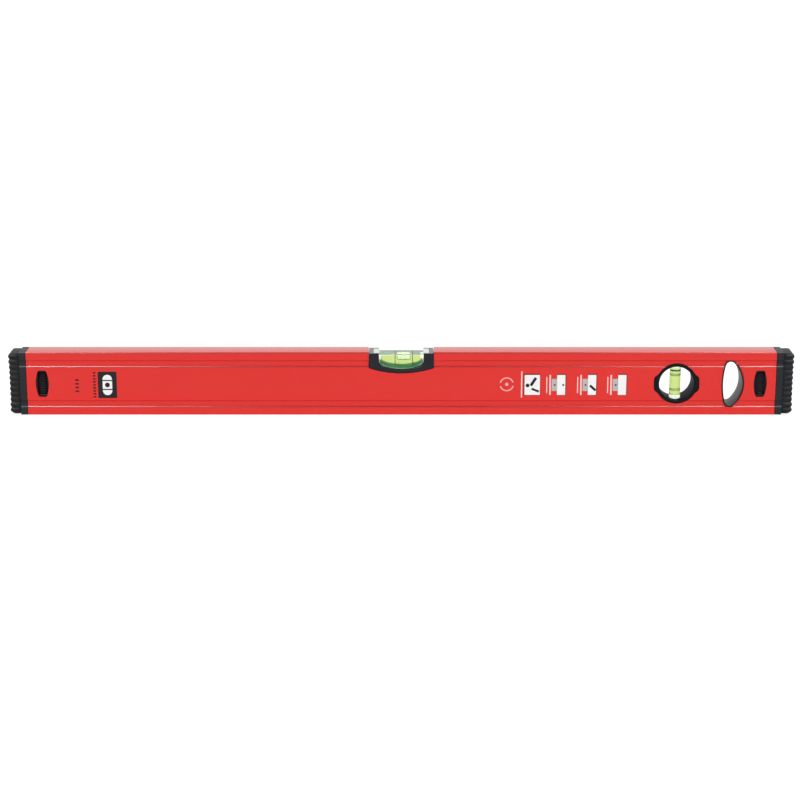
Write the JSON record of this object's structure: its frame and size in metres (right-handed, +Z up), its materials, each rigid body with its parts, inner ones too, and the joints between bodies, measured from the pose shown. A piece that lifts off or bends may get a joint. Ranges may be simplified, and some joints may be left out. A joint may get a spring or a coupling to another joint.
{
  "type": "spirit level",
  "caption": "Box-beam spirit level with a top-read centre vial, a round plumb vial window, a hang slot and removable rubber end caps held by press latches.",
  "frame": {"origin": "middle of the lower measuring face, at mid-length and mid-thickness", "axes": "+X along the beam towards the plumb vial and hang slot, +Y through the thickness from the front face to the rear face, +Z up from the lower to the upper measuring face"},
  "size_m": [0.61, 0.02, 0.05],
  "materials": {
    "beam_coat": "red powder coat, satin",
    "cradle_plastic": "polished moulded plastic, black",
    "holder_plastic": "moulded plastic, satin black",
    "liner_plastic": "moulded plastic, satin dark grey",
    "cap_plastic": "moulded plastic, fine grain, black",
    "latch_plastic": "ribbed moulded plastic, black",
    "bumper_rubber": "ribbed rubber, matte black",
    "spring_steel": "drawn spring wire",
    "vial_acrylic": "clear polished acrylic",
    "vial_liquid": "yellow-green vial liquid",
    "bubble_air": "clear air bubble",
    "ring_ink": "dark reading ring"
  },
  "bodies": {
    "level_body": {"beam": "beam_coat", "centre_vial_cradle": "cradle_plastic", "centre_vial_block": "vial_acrylic", "centre_vial_seal": "vial_acrylic", "centre_vial_ring_left": "ring_ink", "centre_vial_ring_right": "ring_ink", "centre_vial_liquid": "vial_liquid", "plumb_holder_front": "holder_plastic", "plumb_holder_rear": "holder_plastic", "plumb_vial_tube": "vial_acrylic", "plumb_vial_seal": "vial_acrylic", "plumb_vial_ring_lower": "ring_ink", "plumb_vial_ring_upper": "ring_ink", "plumb_vial_liquid": "vial_liquid", "hang_slot_liner_front": "liner_plastic", "hang_slot_liner_rear": "liner_plastic"},
    "centre_bubble": {"centre_vial_bubble": "bubble_air"},
    "plumb_bubble": {"plumb_vial_bubble": "bubble_air"},
    "left_cap": {"left_end_plug": "cap_plastic", "left_end_bumper": "bumper_rubber", "left_front_latch_spring": "spring_steel", "left_rear_latch_spring": "spring_steel"},
    "left_front_button": {"left_front_latch": "latch_plastic"},
    "left_rear_button": {"left_rear_latch": "latch_plastic"},
    "right_cap": {"right_end_plug": "cap_plastic", "right_end_bumper": "bumper_rubber", "right_front_latch_spring": "spring_steel", "right_rear_latch_spring": "spring_steel"},
    "right_front_button": {"right_front_latch": "latch_plastic"},
    "right_rear_button": {"right_rear_latch": "latch_plastic"}
  },
  "joints": [
    {"name": "centre_bubble_slide", "type": "slide", "parent": "level_body", "child": "centre_bubble", "axis": [1, 0, 0], "range_m": [-0.0078, 0.007], "stiffness_N_per_m": 2},
    {"name": "plumb_bubble_slide", "type": "slide", "parent": "level_body", "child": "plumb_bubble", "axis": [0, 0, 1], "range_m": [-0.0182, 0], "stiffness_N_per_m": 5, "springref_m": 0.002},
    {"name": "left_cap_slide", "type": "slide", "parent": "level_body", "child": "left_cap", "axis": [-1, 0, 0], "range_m": [0, 0.024]},
    {"name": "left_front_latch_press", "type": "slide", "parent": "left_cap", "child": "left_front_button", "axis": [0, 1, 0], "range_m": [0, 0.0018], "stiffness_N_per_m": 1200, "springref_m": -0.001, "deforming": ["left_front_latch_spring"]},
    {"name": "left_rear_latch_press", "type": "slide", "parent": "left_cap", "child": "left_rear_button", "axis": [0, -1, 0], "range_m": [0, 0.0018], "stiffness_N_per_m": 1200, "springref_m": -0.001, "deforming": ["left_rear_latch_spring"]},
    {"name": "right_cap_slide", "type": "slide", "parent": "level_body", "child": "right_cap", "axis": [1, 0, 0], "range_m": [0, 0.024]},
    {"name": "right_front_latch_press", "type": "slide", "parent": "right_cap", "child": "right_front_button", "axis": [0, 1, 0], "range_m": [0, 0.0018], "stiffness_N_per_m": 1200, "springref_m": -0.001, "deforming": ["right_front_latch_spring"]},
    {"name": "right_rear_latch_press", "type": "slide", "parent": "right_cap", "child": "right_rear_button", "axis": [0, -1, 0], "range_m": [0, 0.0018], "stiffness_N_per_m": 1200, "springref_m": -0.001, "deforming": ["right_rear_latch_spring"]}
  ]
}
